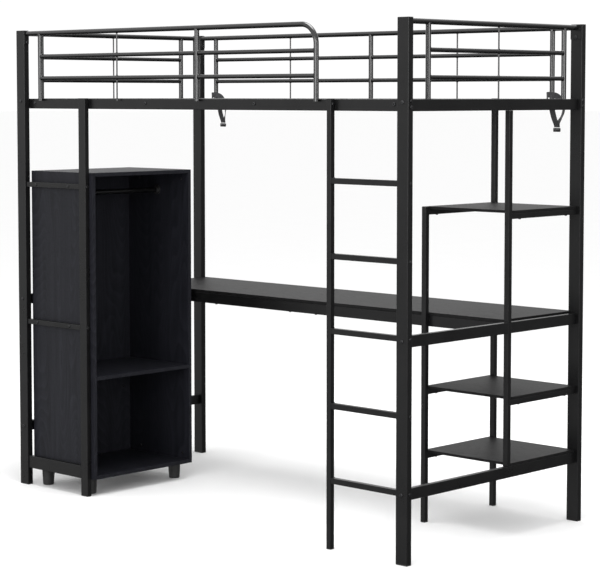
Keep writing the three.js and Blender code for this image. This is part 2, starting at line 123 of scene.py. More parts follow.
class ShaderBench:
    """A new material, or a world, and the nodes that are put on it."""

    def __init__(self, name: str, makers: bpy.types.bpy_prop_collection | None = None) -> None:
        """Starts with no nodes.

        Args:
            name: the name of the material or world.
            makers: where it is made, which is among the materials unless it is given.
        """
        self.holder = (bpy.data.materials if makers is None else makers).new(name)
        self.holder.use_nodes = True
        self.tree = self.holder.node_tree
        self.tree.nodes.clear()

    def node(self, kind: str, settings: dict | None = None, values: dict | None = None,
             output: int | str = 0) -> Wire:
        """Adds one node.

        Args:
            kind: the node's type.
            settings: its own properties, set first; "stops" is a ramp's list of stops.
            values: numbers or wires for its inputs, by identifier or name.
            output: which output is handed back, by place or identifier.

        Returns:
            The chosen output, or a wire with no socket where the node has no outputs.
        """
        made = self.tree.nodes.new(kind)
        for key, value in (settings or {}).items():
            if key == "stops":
                self._set_stops(made.color_ramp, value)
            else:
                setattr(made, key, value)
        for key, value in (values or {}).items():
            socket = self._find(made.inputs, key)
            if isinstance(value, Wire):
                self.tree.links.new(value.socket, socket)
            else:
                socket.default_value = value
        return Wire(self, self._find(made.outputs, output) if made.outputs else None)

    @staticmethod
    def _find(sockets: Sequence[bpy.types.NodeSocket], key: int | str) -> bpy.types.NodeSocket:
        """The socket at this place, with this identifier, or else with this name."""
        if isinstance(key, int):
            return sockets[key]
        exact = [socket for socket in sockets if socket.identifier == key]
        return (exact or [socket for socket in sockets if socket.name == key])[0]

    @staticmethod
    def _set_stops(ramp: bpy.types.ColorRamp, stops: Sequence[tuple[float, float]]) -> None:
        """Gives a ramp grey stops, each a place and a brightness."""
        while len(ramp.elements) < len(stops):
            ramp.elements.new(0.5)
        for element, (place, grey) in zip(ramp.elements, stops):
            element.position = place
            element.color = (grey, grey, grey, 1.0)

    def math(self, operation: str, *terms: "Wire | float") -> Wire:
        """Adds a Math node on one or two terms."""
        return self.node("ShaderNodeMath", {"operation": operation}, dict(enumerate(terms)))

    def place(self, scale: Point = (1.0, 1.0, 1.0), shift: Point = (0.0, 0.0, 0.0)) -> Wire:
        """Object coordinates, stretched and moved."""
        here = self.node("ShaderNodeTexCoord", output="Object")
        values = {"Vector": here, "Scale": scale, "Location": shift}
        return self.node("ShaderNodeMapping", None, values)

    def noise(self, where: Wire, scale: float, detail: float = 2.0,
              roughness: float = 0.5) -> Wire:
        """Smooth noise between 0 and 1."""
        values = {"Vector": where, "Scale": scale, "Detail": detail, "Roughness": roughness}
        return self.node("ShaderNodeTexNoise", None, values)

    def blend(self, amount: Wire, first: Point | Wire, second: Point | Wire) -> Wire:
        """A colour between two colours."""
        ends = [(*end, 1.0) if isinstance(end, tuple) else end for end in (first, second)]
        values = {"Factor_Float": amount, "A_Color": ends[0], "B_Color": ends[1]}
        return self.node("ShaderNodeMix", {"data_type": "RGBA"}, values, "Result_Color")

    def relief(self, height: Wire, distance: float, strength: float) -> Wire:
        """A bumped normal."""
        values = {"Height": height, "Distance": distance, "Strength": strength}
        return self.node("ShaderNodeBump", None, values)

    def surface(self, values: dict) -> bpy.types.Material:
        """Ends the material in one Principled surface.

        Args:
            values: numbers or wires for the surface's sockets.

        Returns:
            The finished material.
        """
        coat = self.node("ShaderNodeBsdfPrincipled", None, values)
        self.node("ShaderNodeOutputMaterial", None, {"Surface": coat})
        return self.holder


# --------------------------------------------------------------------------- finishes


@dataclass(frozen=True)
class PowderCoat:
    """Satin black powder coat on steel: a fine orange peel, and a painted highlight along the
    rounded edges, where it is also a little less rough.
    """

    name: str
    body: Point = (0.0032, 0.0032, 0.0034)
    cloud: Point = (0.0050, 0.0050, 0.0052)
    # The colour of the painted highlight along the rounded edges.
    edge: Point = (0.020, 0.020, 0.021)
    roughness: float = 0.30
    specular: float = 0.34
    peel_scale: float = 900.0
    peel_depth: float = 0.00012

    def make(self) -> bpy.types.Material:
        """Builds the material."""
        bench = ShaderBench(self.name)
        here = bench.place()
        cloud = bench.noise(here, 9.0, 3.0)
        speck = bench.noise(here, 260.0, 2.0)
        peel = bench.noise(here, self.peel_scale, 1.5)
        # How far the normals lean marks the rounded edges, where the painted highlight is laid.
        edge_lean = bench.node("ShaderNodeAttribute", {"attribute_name": "edge"}, output="Fac")
        painted_edge_highlight = (edge_lean * (bench.noise(here, 34.0, 3.0).span(0.35, 0.75) * 0.5 + 0.5)).span(0.15, 1.0)
        paint = bench.blend(cloud.span(0.35, 0.7), self.body, self.cloud)
        # Painted highlight: the rounded edges are blended towards the lighter edge colour.
        paint = bench.blend(painted_edge_highlight * 0.5, paint, self.edge)
        gloss = self.roughness + (cloud - 0.5) * 0.10 + (speck - 0.5) * 0.08 - painted_edge_highlight * 0.06
        return bench.surface({
            "Base Color": paint, "Roughness": gloss, "Specular IOR Level": self.specular,
            "Normal": bench.relief(peel, self.peel_depth, 0.55),
        })


@dataclass(frozen=True)
class WoodPrint:
    """A dark board with a printed and pressed grain along one axis."""

    name: str
    grain: Axis
    dark: Point
    pale: Point
    roughness: float
    specular: float
    rings: float = 70.0

    def _stretch(self, across: float, along: float) -> Point:
        """Scales that pull a pattern out along the grain."""
        return tuple(along if i == self.grain.value else across for i in range(3))

    def make(self) -> bpy.types.Material:
        """Builds the material."""
        bench = ShaderBench(self.name)
        broad = bench.place(self._stretch(1.0, 0.16), (0.37, 0.21, 0.13))
        rings = bench.noise(broad, 3.6, 1.6, 0.45) * self.rings
        arches = bench.math("FRACT", rings).span(0.0, 1.0)
        lines = bench.node(
            "ShaderNodeValToRGB", {"stops": [(0.0, 0.15), (0.62, 0.55), (0.9, 1.0), (1.0, 0.15)]},
            {"Fac": arches},
        )
        fibres = bench.noise(bench.place(self._stretch(1.0, 0.022)), 520.0, 4.0, 0.65)
        pores = bench.noise(bench.place(self._stretch(1.0, 0.05)), 1300.0, 2.0).span(0.58, 0.72)
        streak = bench.noise(bench.place(self._stretch(1.0, 0.03)), 46.0, 3.0)
        tone = lines * 0.38 + fibres.span(0.3, 0.72) * 0.34 + streak.span(0.3, 0.7) * 0.28
        tone = (tone - pores * 0.35).span(0.05, 0.95)
        gloss = self.roughness + (fibres - 0.5) * 0.18 + pores * 0.16 + (lines - 0.5) * 0.05
        press = bench.relief(fibres * 0.6 + lines * 0.5 - pores * 0.9, 0.00010, 0.5)
        return bench.surface({
            "Base Color": bench.blend(tone, self.dark, self.pale), "Roughness": gloss,
            "Specular IOR Level": self.specular, "Normal": press,
        })


@dataclass(frozen=True)
class Moulded:
    """Moulded plastic or blackened metal with a finely blasted surface."""

    name: str
    body: Point
    roughness: float
    metallic: float = 0.0
    grain_scale: float = 700.0
    grain_depth: float = 0.00008

    def make(self) -> bpy.types.Material:
        """Builds the material."""
        bench = ShaderBench(self.name)
        here = bench.place()
        grain = bench.noise(here, self.grain_scale, 2.0)
        patch = bench.noise(here, 60.0, 3.0)
        lighter = tuple(min(1.0, c * 1.7 + 0.004) for c in self.body)
        return bench.surface({
            "Base Color": bench.blend(patch.span(0.3, 0.8), self.body, lighter),
            "Roughness": self.roughness + (patch - 0.5) * 0.16 + (grain - 0.5) * 0.08,
            "Metallic": self.metallic, "Normal": bench.relief(grain, self.grain_depth, 0.5),
        })


@dataclass(frozen=True)
class Woven:
    """Black polyester webbing, a fine herringbone of ribs along the strap."""

    name: str
    thread: Point = (0.012, 0.012, 0.013)
    crown: Point = (0.045, 0.045, 0.048)
    ribs: float = 15.0
    picks: float = 520.0

    def make(self) -> bpy.types.Material:
        """Builds the material from the strap's own flat coordinates."""
        bench = ShaderBench(self.name)
        flat = bench.node("ShaderNodeUVMap", {"uv_map": "strip"})
        across = bench.node("ShaderNodeSeparateXYZ", None, {"Vector": flat}, "X")
        along = bench.node("ShaderNodeSeparateXYZ", None, {"Vector": flat}, "Y")
        chevron = bench.math("PINGPONG", across * self.ribs, 1.0)
        rib = (across * (self.ribs * math.tau)).wave()
        pick = (along * (self.picks * math.tau / 2) + chevron * 2.2).wave()
        weave = rib * 0.45 + pick * 0.55
        fuzz = bench.noise(bench.place(), 2400.0, 2.0)
        return bench.surface({
            "Base Color": bench.blend(weave * 0.8 + fuzz * 0.2, self.thread, self.crown),
            "Roughness": 0.78 - weave * 0.12, "Sheen Weight": 0.25, "Sheen Roughness": 0.4,
            "Normal": bench.relief(weave * 0.8 + fuzz * 0.2, 0.0004, 0.8),
        })


@dataclass(frozen=True)
class Coat:
    """A finish ready for use: the material and the record's slot it belongs to."""

    material: bpy.types.Material
    slot: str


class Finishes:
    """Every finish of the bed."""

    def __init__(self) -> None:
        """Mixes the finishes."""
        satin = PowderCoat("satin_powder_coat")
        rod = PowderCoat("rod_coat", roughness=0.20, specular=0.5, peel_depth=0.00005)
        glossy = PowderCoat("round_tube_coat", roughness=0.17, specular=0.85, peel_depth=0.00006)
        self.steel = Coat(satin.make(), "steel")
        self.rod = Coat(rod.make(), "rod")
        self.round = Coat(glossy.make(), "steel")
        board_dark, board_pale = (0.0022, 0.0021, 0.0023), (0.0110, 0.0107, 0.0110)
        desk = WoodPrint("desk_print", Axis.X, board_dark, board_pale, 0.50, 0.16)
        self.desk = Coat(desk.make(), "desk_board")
        self.case = {axis: self._case(axis) for axis in (Axis.X, Axis.Z)}
        plastic = Moulded("moulded_black", (0.010, 0.010, 0.010), 0.48)
        bolt = Moulded("black_bolt", (0.045, 0.045, 0.047), 0.30, 0.9)
        pin = Moulded("plated_pin", (0.55, 0.55, 0.56), 0.25, 1.0)
        self.plastic = Coat(plastic.make(), "black_plastic")
        self.bolt = Coat(bolt.make(), "steel")
        self.pin = Coat(pin.make(), "rod")
        self.webbing = Coat(Woven("black_webbing").make(), "webbing")

    @staticmethod
    def _case(grain: Axis) -> Coat:
        """The cabinet's finish, with its grain along one axis."""
        dark, pale = (0.0034, 0.0036, 0.0054), (0.0165, 0.0170, 0.0225)
        printed = WoodPrint(f"cabinet_print_{grain.name.lower()}", grain, dark, pale, 0.46, 0.2)
        return Coat(printed.make(), "cabinet_board")


# --------------------------------------------------------------------------- workbench


def clear_bench() -> None:
    """Leaves edit mode and deselects every object."""
    if bpy.context.object is not None and bpy.context.object.mode != "OBJECT":
        bpy.ops.object.mode_set(mode="OBJECT")
    bpy.ops.object.select_all(action="DESELECT")


class Workpiece:
    """A mesh on the bench: shaped in edit mode, then finished."""

    def __init__(self, obj: bpy.types.Object, name: str) -> None:
        """Takes the active object, settles its place into its mesh and names it."""
        self.obj = obj
        self.obj.name = self.obj.data.name = name
        self.pick_up()
        bpy.ops.object.transform_apply(location=True, rotation=True, scale=True)

    @classmethod
    def block(cls, name: str, low: Sequence[float], high: Sequence[float]) -> "Workpiece":
        """Starts from a block between two corners.

        Args:
            name: the piece's name.
            low: its lowest corner.
            high: its highest corner.

        Returns:
            The new piece.
        """
        low, high = Vector(low), Vector(high)
        clear_bench()
        bpy.ops.mesh.primitive_cube_add(size=1, location=(low + high) / 2, scale=high - low)
        return cls(bpy.context.object, name)

    @classmethod
    def bar(cls, name: str, start: Sequence[float], end: Sequence[float], radius: float,
            sides: int = 20) -> "Workpiece":
        """Starts from a round bar between two points.

        Args:
            name: the piece's name.
            start: the middle of one end.
            end: the middle of the other.
            radius: the bar's radius.
            sides: how many sides it has.

        Returns:
            The new piece.
        """
        start, end = Vector(start), Vector(end)
        run = end - start
        clear_bench()
        bpy.ops.mesh.primitive_cylinder_add(
            vertices=sides, radius=radius, depth=run.length, location=(start + end) / 2,
            rotation=run.to_track_quat("Z", "Y").to_euler(),
        )
        return cls(bpy.context.object, name)

    def pick_up(self) -> None:
        """Makes this the only selected object."""
        clear_bench()
        self.obj.select_set(True)
        bpy.context.view_layer.objects.active = self.obj

    @contextmanager
    def edit(self, mode: str = "FACE") -> Iterator[bmesh.types.BMesh]:
        """Opens the mesh in edit mode with nothing selected, and closes it afterwards.

        Args:
            mode: the kind of element that is picked.
        """
        self.pick_up()
        bpy.ops.object.mode_set(mode="EDIT")
        bpy.ops.mesh.select_mode(type=mode)
        bpy.ops.mesh.select_all(action="DESELECT")
        mesh = bmesh.from_edit_mesh(self.obj.data)
        mesh.normal_update()
        yield mesh
        bpy.ops.object.mode_set(mode="OBJECT")

    def bevel(self, test: Test, width: float, steps: int = 2) -> "Workpiece":
        """Rounds the edges whose middle and direction pass a test.

        Args:
            test: told an edge's middle and its direction.
            width: how far the rounding reaches.
            steps: how many facets it has.

        Returns:
            This piece.
        """
        with self.edit("EDGE") as mesh:
            for edge in mesh.edges:
                first, last = (corner.co for corner in edge.verts)
                if test((first + last) / 2, (last - first).normalized()):
                    edge.select_set(True)
            bmesh.update_edit_mesh(self.obj.data)
            bpy.ops.mesh.bevel(offset=width, segments=steps, affect="EDGES")
        return self

    def bevel_all(self, width: float, steps: int = 2) -> "Workpiece":
        """Rounds every edge."""
        return self.bevel(lambda middle, way: True, width, steps)

    def _pick_faces(self, mesh: bmesh.types.BMesh, test: Test) -> None:
        """Selects the faces whose middle and normal pass a test."""
        for face in mesh.faces:
            if test(face.calc_center_median(), face.normal):
                face.select_set(True)
        bmesh.update_edit_mesh(self.obj.data)

    def inset(self, test: Test, width: float, depth: float = 0.0) -> "Workpiece":
        """Insets the faces that pass a test, and sinks or raises them.

        Args:
            test: told a face's middle and its normal.
            width: how wide the border is.
            depth: how far the middle is raised.

        Returns:
            This piece.
        """
        with self.edit() as mesh:
            self._pick_faces(mesh, test)
            bpy.ops.mesh.inset(thickness=width, depth=depth)
        return self

    def extrude(self, test: Test, move: Sequence[float]) -> "Workpiece":
        """Draws the faces that pass a test out along a vector."""
        with self.edit() as mesh:
            self._pick_faces(mesh, test)
            bpy.ops.mesh.extrude_region_move(TRANSFORM_OT_translate={"value": move})
        return self

    def scale_faces(self, test: Test, factor: Point) -> "Workpiece":
        """Scales the faces that pass a test about their own middle."""
        with self.edit() as mesh:
            self._pick_faces(mesh, test)
            chosen = [v.co for v in mesh.verts if v.select]
            middle = sum(chosen, Vector()) / len(chosen)
            bpy.ops.transform.resize(value=factor, center_override=middle)
        return self

    def roughen(self, amount: float, seed: int) -> "Workpiece":
        """Moves every vertex a little, as in a hand-made weld."""
        with self.edit("VERT"):
            bpy.ops.mesh.select_all(action="SELECT")
            bpy.ops.transform.vertex_random(offset=amount, uniform=1.0, normal=0.0, seed=seed)
        return self

    def carve(self, *tools: "Workpiece") -> "Workpiece":
        """Cuts other pieces out of this one and puts them away."""
        for tool in tools:
            cut = self.obj.modifiers.new("cut", "BOOLEAN")
            cut.operation, cut.solver, cut.object = "DIFFERENCE", "EXACT", tool.obj
            self.pick_up()
            bpy.ops.object.modifier_apply(modifier=cut.name)
            bpy.data.objects.remove(tool.obj)
        return self

    def copy_at(self, place: Matrix) -> "Workpiece":
        """A copy with its own mesh, moved by a matrix."""
        twin = self.obj.copy()
        twin.data = self.obj.data.copy()
        bpy.context.scene.collection.objects.link(twin)
        twin.data.transform(place)
        return Workpiece(twin, self.obj.name)

    def join(self, others: Sequence["Workpiece"]) -> "Workpiece":
        """Joins other pieces into this one."""
        if others:
            self.pick_up()
            for other in others:
                other.obj.select_set(True)
            bpy.ops.object.join()
        return self

    def mark_edges(self) -> None:
        """Stores how far each vertex's normal leans away from the axes, which drives the painted
        edge highlight.
        """
        mesh = self.obj.data
        lean = mesh.attributes.new("edge", "FLOAT", "POINT")
        full = 1.0 - 1.0 / math.sqrt(2.0)
        for vertex, value in zip(mesh.vertices, lean.data):
            value.value = min(1.0, (1.0 - max(abs(n) for n in vertex.normal)) / full)

    def finish(self, coat: Coat, stands_for: Sequence[str] = (),
               edges: bool = True) -> bpy.types.Object:
        """Shades, paints and mounts the piece.

        Args:
            coat: the finish it takes.
            stands_for: the frame's nodes that it replaces.
            edges: whether its edges are marked for the painted highlight.

        Returns:
            The finished object.
        """
        self.pick_up()
        bpy.ops.object.shade_smooth_by_angle(angle=SMOOTH_ANGLE)
        even = self.obj.modifiers.new("even", "WEIGHTED_NORMAL")
        even.keep_sharp = True
        bpy.ops.object.modifier_apply(modifier=even.name)
        if edges:
            self.mark_edges()
        self.obj.data.materials.clear()
        self.obj.data.materials.append(coat.material)
        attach(self.obj, "root")
        if stands_for:
            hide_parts(*stands_for)
        LOG.info("%s: %d faces", self.obj.name, len(self.obj.data.polygons))
        return self.obj


class BentTube:
    """A round tube drawn ring by ring, in straight runs and bends."""

    def __init__(self, name: str, start: Sequence[float], heading: Vector, radius: float,
                 sides: int = 20) -> None:
        """Lays down the first ring.

        Args:
            name: the tube's name.
            start: the middle of the first ring.
            heading: the way the tube sets off.
            radius: the tube's radius.
            sides: how many sides it has.
        """
        clear_bench()
        bpy.ops.mesh.primitive_circle_add(
            vertices=sides, radius=radius, location=start,
            rotation=heading.to_track_quat("Z", "Y").to_euler(),
        )
        self.piece = Workpiece(bpy.context.object, name)
        bpy.ops.object.mode_set(mode="EDIT")
        bpy.ops.mesh.select_mode(type="EDGE")
        bpy.ops.mesh.select_all(action="SELECT")

    def straight(self, run: Vector) -> "BentTube":
        """Draws the last ring straight on."""
        bpy.ops.mesh.extrude_edges_move(TRANSFORM_OT_translate={"value": run})
        return self

    def bend(self, centre: Sequence[float], axis: Vector, angle: float, steps: int) -> "BentTube":
        """Swings the last ring round a centre.

        Args:
            centre: the middle of the bend.
            axis: the line it turns about.
            angle: how far it turns, in radians.
            steps: how many rings the bend has.

        Returns:
            This tube.
        """
        bpy.ops.mesh.spin(steps=steps, angle=angle, center=centre, axis=axis)
        return self

    def close(self) -> Workpiece:
        """Merges its rings, closes both ends and turns every face outwards."""
        bpy.ops.mesh.select_all(action="SELECT")
        bpy.ops.mesh.remove_doubles(threshold=HAIR)
        bpy.ops.mesh.fill_holes(sides=0)
        bpy.ops.mesh.select_all(action="SELECT")
        bpy.ops.mesh.normals_make_consistent(inside=False)
        bpy.ops.object.mode_set(mode="OBJECT")
        return self.piece


# --------------------------------------------------------------------------- stock and fittings


@dataclass(frozen=True)
class Place:
    """Where a repeated part sits: a point, and the way that its top faces."""

    point: Point
    facing: Vector

    def matrix(self) -> Matrix:
        """The move that takes the part there from the origin."""
        turn = self.facing.to_track_quat("Z", "Y").to_matrix().to_4x4()
        return Matrix.Translation(self.point) @ turn


def stamp(name: str, pattern: Workpiece, places: Sequence[Place]) -> Workpiece:
    """Copies a pattern to many places as one piece, and puts the pattern away.

    Args:
        name: the name of the set.
        pattern: the part, modelled at the origin with its top facing up.
        places: where the copies go.

    Returns:
        The joined set.
    """
    copies = [pattern.copy_at(place.matrix()) for place in places]
    bpy.data.objects.remove(pattern.obj)
    whole = copies[0].join(copies[1:])
    whole.obj.name = whole.obj.data.name = name
    return whole


@dataclass(frozen=True)
class TubeStock:
    """Rectangular steel tube with rounded corners."""

    corner: float
    rim: float = 0.0004

    def cut(self, name: str, low: Sequence[float], high: Sequence[float]) -> Workpiece:
        """Cuts a length of tube that fills the space between two corners.

        Args:
            name: the piece's name.
            low: its lowest corner.
            high: its highest corner.

        Returns:
            The piece.
        """
        long = max(range(3), key=lambda i: high[i] - low[i])
        piece = Workpiece.block(name, low, high)
        piece.bevel(lambda middle, way: abs(way[long]) > ALONG, self.corner, CORNER_STEPS)
        ends = (low[long], high[long])
        return piece.bevel(
            lambda middle, way: min(abs(middle[long] - end) for end in ends) < HAIR, self.rim, 1
        )

    def skin(self, node: str, coat: Coat, trim_low: float = 0.0, trim_high: float = 0.0) -> None:
        """Cuts the tube that stands for one node, shortened where plastic ends take over.

        Args:
            node: the frame's node.
            coat: its finish.
            trim_low: how much is left off its low end.
            trim_high: how much is left off its high end.
        """
        low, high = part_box(node)
        long = max(range(3), key=lambda i: high[i] - low[i])
        low[long] += trim_low
        high[long] -= trim_high
        self.cut(f"{node}_tube", low, high).finish(coat, [node])


POST_STOCK = TubeStock(0.0019)
RAIL_STOCK = TubeStock(0.0018)
SMALL_STOCK = TubeStock(0.0014)
SLAT_STOCK = TubeStock(0.0028)
CAP = 0.003
GLIDE = 0.004
PLUG_OUTER_EDGE = 0.0012
PLUG_INNER_EDGE = 0.0004


def plug(name: str, node: str, top: bool, corner: float, coat: Coat) -> None:
    """The plastic end of an upright: a flat cap on top or a glide under it.

    Args:
        name: the piece's name.
        node: the upright it closes.
        top: whether it is the cap rather than the glide.
        corner: the upright's corner radius.
        coat: its finish.
    """
    low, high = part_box(node)
    if top:
        low.z = high.z - CAP
    else:
        high.z = low.z + GLIDE
    piece = Workpiece.block(name, low, high)
    piece.bevel(lambda middle, way: abs(way.z) > ALONG, corner, CORNER_STEPS)
    outer = high.z if top else low.z
    inner = low.z if top else high.z
    piece.bevel(lambda middle, way: abs(middle.z - outer) < HAIR, PLUG_OUTER_EDGE, 3)
    piece.bevel(lambda middle, way: abs(middle.z - inner) < HAIR, PLUG_INNER_EDGE, 1)
    piece.finish(coat)


def upright(node: str, label: str, stock: TubeStock, coats: Finishes, capped: bool = True) -> None:
    """A standing tube with a plastic glide under it, and a cap on top if it is open there.

    Args:
        node: the frame's node that it stands for.
        label: what its plastic ends are named after.
        stock: the tube that it is cut from.
        coats: the finishes.
        capped: whether it has a cap.
    """
    stock.skin(node, coats.steel, GLIDE, CAP if capped else 0.0)
    if capped:
        plug(f"cap_{label}", node, True, stock.corner, coats.plastic)
    plug(f"glide_{label}", node, False, stock.corner, coats.plastic)


def board(node: str, ease: float, coat: Coat) -> None:
    """A board that stands for one node, its edges slightly rounded."""
    Workpiece.block(f"{node}_panel", *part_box(node)).bevel_all(ease).finish(coat, [node])


def bolt_pattern(radius: float = 0.0065, height: float = 0.003) -> Workpiece:
    """A low round bolt head with a hexagon socket, standing at the origin."""
    head = Workpiece.bar("bolt", (0, 0, -0.0005), (0, 0, height), radius, 24)
    head.bevel(lambda middle, way: abs(middle.z - height) < HAIR, height * 0.55, 4)
    head.inset(lambda middle, normal: normal.z > ALONG, radius * 0.12)
    socket = Workpiece.bar("socket", (0, 0, height * 0.35), (0, 0, height * 2), radius * 0.42, 6)
    return head.carve(socket)


def small_bolt_pattern() -> Workpiece:
    """The smaller bolt head that holds the rungs and the wardrobe's bars."""
    return bolt_pattern(0.0055, 0.0026)


def screw_pattern(radius: float, height: float) -> Workpiece:
    """A pan head with a cross recess, standing at the origin."""
    head = Workpiece.bar("screw", (0, 0, -0.0005), (0, 0, height), radius, 20)
    head.bevel(lambda middle, way: abs(middle.z - height) < HAIR, height * 0.5, 3)
    slot, depth = radius * 0.16, height * 0.35
    long = radius * 0.6
    return head.carve(
        Workpiece.block("slot", (-long, -slot, depth), (long, slot, height * 2)),
        Workpiece.block("slot", (-slot, -long, depth), (slot, long, height * 2)),
    )


def board_screw_pattern() -> Workpiece:
    """The screw that holds a board from under its rail."""
    return screw_pattern(0.005, 0.0032)


def bead_pattern(radius: float, thick: float = 0.0016) -> Workpiece:
    """An uneven ring of weld round a tube, lying at the origin."""
    clear_bench()
    bpy.ops.mesh.primitive_torus_add(
        major_radius=radius + thick * 0.2, minor_radius=thick, major_segments=18, minor_segments=8
    )
    return Workpiece(bpy.context.object, "bead").roughen(thick * 0.22, 5)


def collar_pattern(width: float, height: float, thick: float = 0.0022) -> Workpiece:
    """A weld fillet round a rectangular tube that rises from the origin."""
    x, y = width / 2 + thick * 0.7, height / 2 + thick * 0.7
    fillet = Workpiece.block("fillet", (-x, -y, 0), (x, y, thick))
    fillet.bevel(lambda middle, way: abs(way.z) > ALONG, thick, 3)
    fillet.bevel(lambda middle, way: abs(middle.z - thick) < HAIR, thick * 0.6, 2)
    return fillet.roughen(thick * 0.1, 7)


# --------------------------------------------------------------------------- the bed


@dataclass
class BedFrame:
    """Posts, bed rails, end rails and the bolts that hold them."""

    coats: Finishes
    ledge: float = 0.018
    ledge_foot: float = 1.550
    ledge_top: float = 1.553
    ledge_edge: float = 0.0007
    rail_bolt_level: float = 1.559
    rail_bolts: Sequence[float] = (-0.9595, -0.293, 0.293, 0.9595)
    post_bolt_levels: Sequence[float] = (1.566, 0.762, 0.240)
    end_bolt_levels: Sequence[float] = (1.570, 1.549)
    end_bolt_y: float = 0.486
    end_rails: Sequence[str] = (
        "bed_rail_left", "bed_rail_right", "end_rail_low_left", "end_rail_low_right",
        "end_rail_desk_left", "end_rail_desk_right_front", "end_rail_desk_right_rear",
    )

    def build(self) -> None:
        """Builds the frame."""
        for face in ("front", "rear"):
            for side in ("left", "right"):
                upright(f"post_{face}_{side}", f"{face}_{side}", POST_STOCK, self.coats)
        self._long_rail("bed_rail_front", FRONT)
        self._long_rail("bed_rail_rear", REAR)
        for node in self.end_rails:
            RAIL_STOCK.skin(node, self.coats.steel)
        self._bolts()

    def _long_rail(self, node: str, side: int) -> None:
        """A long rail: a tube with an angle welded along its inner side.

        Args:
            node: the frame's node that it stands for.
            side: FRONT or REAR.
        """
        low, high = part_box(node)
        inner_low, inner_high = low.copy(), high.copy()
        if side == FRONT:
            high.y -= self.ledge
            inner_low.y = high.y - HAIR
        else:
            low.y += self.ledge
            inner_high.y = low.y + HAIR
        tube = RAIL_STOCK.cut(f"{node}_tube", low, high)
        inner_low.z, inner_high.z = self.ledge_foot, self.ledge_top
        shelf = Workpiece.block("shelf", inner_low, inner_high).bevel_all(self.ledge_edge)
        tube.join([shelf]).finish(self.coats.steel, [node])

    def _bolts(self) -> None:
        """Bolt heads on the rails and on the posts' faces."""
        post_low, post_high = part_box("post_front_right")
        rail_faces = {FRONT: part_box("bed_rail_front")[0].y, REAR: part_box("bed_rail_rear")[1].y}
        middle = (post_low.x + post_high.x) / 2
        places = [
            Place((x, face, self.rail_bolt_level), Axis.Y.way(sy))
            for sy, face in rail_faces.items() for x in self.rail_bolts
        ]
        for sx in (LEFT, RIGHT):
            for sy in (FRONT, REAR):
                for level in self.post_bolt_levels:
                    places.append(Place((sx * middle, sy * -post_low.y, level), Axis.Y.way(sy)))
                for level in self.end_bolt_levels:
                    spot = (sx * post_high.x, sy * self.end_bolt_y, level)
                    places.append(Place(spot, Axis.X.way(sx)))
        stamp("frame_bolts", bolt_pattern(), places).finish(self.coats.bolt, edges=False)


@dataclass
class SlatBase:
    """Three welded slat panels that lie on the rails' ledges."""

    coats: Finishes
    joint: float = 0.293
    reach: float = 1.0075
    gap: float = 0.0003
    side: float = 0.4559
    bar: float = 0.020
    low: float = 1.5533
    top: float = 1.577
    slat_width: float = 0.040
    slat_thick: float = 0.008
    slat_gap: float = 0.002
    counts: Sequence[int] = (6, 5, 6)

    def build(self) -> None:
        """Builds the panels."""
        spans = {
            "left": (-self.reach, -self.joint - self.gap),
            "middle": (-self.joint + self.gap, self.joint - self.gap),
            "right": (self.joint + self.gap, self.reach),
        }
        for (name, (start, end)), count in zip(spans.items(), self.counts):
            self._panel(name, start, end, count)

    def _panel(self, name: str, start: float, end: float, count: int) -> None:
        """One panel: side bars, cross bars, slats and their welds.

        Args:
            name: which panel it is.
            start: where it starts along the bed.
            end: where it ends.
            count: how many slats it has.
        """
        side, bar, low = self.side, self.bar, self.low
        high = low + bar
        spans = [
            ((start, -side, low), (end, -side + bar, high)),
            ((start, side - bar, low), (end, side, high)),
            ((start, -side + bar, low), (start + bar, side - bar, high - 0.001)),
            ((end - bar, -side + bar, low), (end, side - bar, high - 0.001)),
        ]
        parts = [SMALL_STOCK.cut("member", *span) for span in spans]
        half, thick = self.slat_width / 2, self.slat_thick
        centres = [start + (end - start) * (i + 0.5) / count for i in range(count)]
        reach = side - self.slat_gap
        pattern = SLAT_STOCK.cut("slat", (-half, -reach, self.top - thick), (half, reach, self.top))
        parts += [pattern.copy_at(Matrix.Translation((x, 0, 0))) for x in centres]
        bpy.data.objects.remove(pattern.obj)
        parts[0].join(parts[1:])
        parts[0].obj.name = f"slat_panel_{name}_frame"
        parts[0].finish(self.coats.steel, [f"slat_panel_{name}"])
        run = Workpiece.block("run", (-0.0025, -0.015, -0.001), (0.0025, 0.015, 0.0022))
        run.bevel_all(0.0014).roughen(0.0003, 9)
        spots = []
        for x in centres:
            for edge in (x - half, x + half):
                for y in (-side + bar * 0.55, side - bar * 0.55):
                    spots.append(Place((edge, y, high - 0.0003), Axis.Z.way()))
        stamp(f"slat_welds_{name}", run, spots).finish(self.coats.steel, edges=False)


@dataclass(frozen=True)
class Railing:
    """Where one guardrail runs, and where its uprights and thin rods stand."""

    name: str
    at: Callable[[float, float], Vector]
    uprights: Sequence[float]
    rods: Sequence[float]
    foot: float
    levels: Sequence[float]


